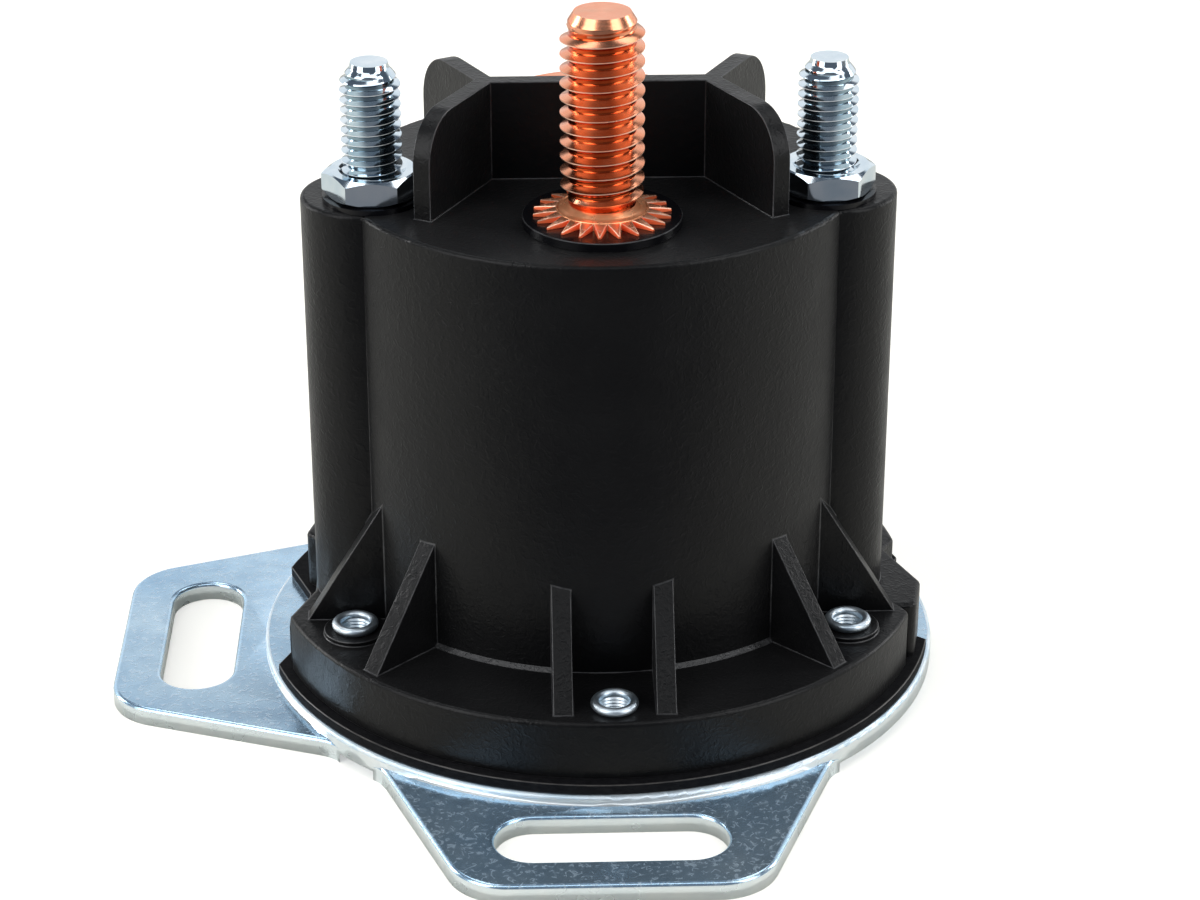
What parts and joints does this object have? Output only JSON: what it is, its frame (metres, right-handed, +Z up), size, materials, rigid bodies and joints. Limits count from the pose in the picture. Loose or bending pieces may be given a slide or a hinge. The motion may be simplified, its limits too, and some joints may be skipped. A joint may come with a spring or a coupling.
{
  "type": "glow plug relay",
  "caption": "Coil relay for glow plugs: black moulded body on a flat bracket with slotted ears, copper power terminals parted by a barrier, small coil studs at the sides.",
  "frame": {"origin": "on the axis of the round body, in the face under the two ears", "axes": "+Z up out of the ears' face, -Y towards the front power stud and the front ear, -X towards the left ear"},
  "size_m": [0.0841, 0.0823, 0.0732],
  "materials": {
    "zinc_plated_steel": "pale blue-white zinc plate, satin with fine worm-like marks",
    "bright_zinc": "bright zinc plate, nearly polished",
    "black_plastic": "satin black moulding with fine leather-like grain",
    "black_insulation": "smooth black insulation",
    "gasket_rubber": "matt black, slightly fibrous",
    "copper": "bright turned copper",
    "plain_steel": "plain turned or drawn steel",
    "spring_steel": "drawn spring wire",
    "brass": "drawn brass tube",
    "natural_nylon": "natural moulded nylon",
    "enamelled_wire": "dark copper with clear enamel"
  },
  "bodies": {
    "relay": {"mounting_bracket": "zinc_plated_steel", "base_gasket": "gasket_rubber", "relay_housing": "black_plastic", "flange_eyelets": "zinc_plated_steel", "front_power_stud": "copper", "front_insulating_washer": "black_insulation", "front_star_washer": "copper", "rear_power_terminal": "copper", "rear_insulating_washer": "black_insulation", "rear_terminal_disc": "copper", "left_coil_stud": "bright_zinc", "left_seal_washer": "gasket_rubber", "left_coil_nut": "bright_zinc", "right_coil_stud": "bright_zinc", "right_seal_washer": "gasket_rubber", "right_coil_nut": "bright_zinc", "coil_can": "plain_steel", "pole_plate": "plain_steel", "fixed_core": "plain_steel", "guide_tube": "brass", "coil_bobbin": "natural_nylon", "coil_winding": "enamelled_wire", "plunger_bumper": "gasket_rubber", "left_coil_lead": "enamelled_wire", "right_coil_lead": "enamelled_wire", "return_spring": "spring_steel"},
    "plunger": {"plunger": "plain_steel", "push_rod": "plain_steel", "rod_collar": "plain_steel", "rod_clip": "spring_steel", "contact_spring": "spring_steel"},
    "contact_disc": {"contact_disc": "copper", "lower_bush": "natural_nylon", "upper_bush": "natural_nylon"}
  },
  "joints": [
    {"name": "plunger_travel", "type": "slide", "parent": "relay", "child": "plunger", "axis": [0, 0, 1], "range_m": [0, 0.0028], "stiffness_N_per_m": 300, "springref_m": -0.002, "deforming": ["return_spring"]},
    {"name": "contact_disc_travel", "type": "slide", "parent": "plunger", "child": "contact_disc", "axis": [0, 0, 1], "range_m": [-0.0008, 0], "deforming": ["contact_spring"]}
  ],
  "couplings": [
    {"joint": "contact_disc_travel", "follows": "plunger_travel", "ratio": -0.2857}
  ]
}
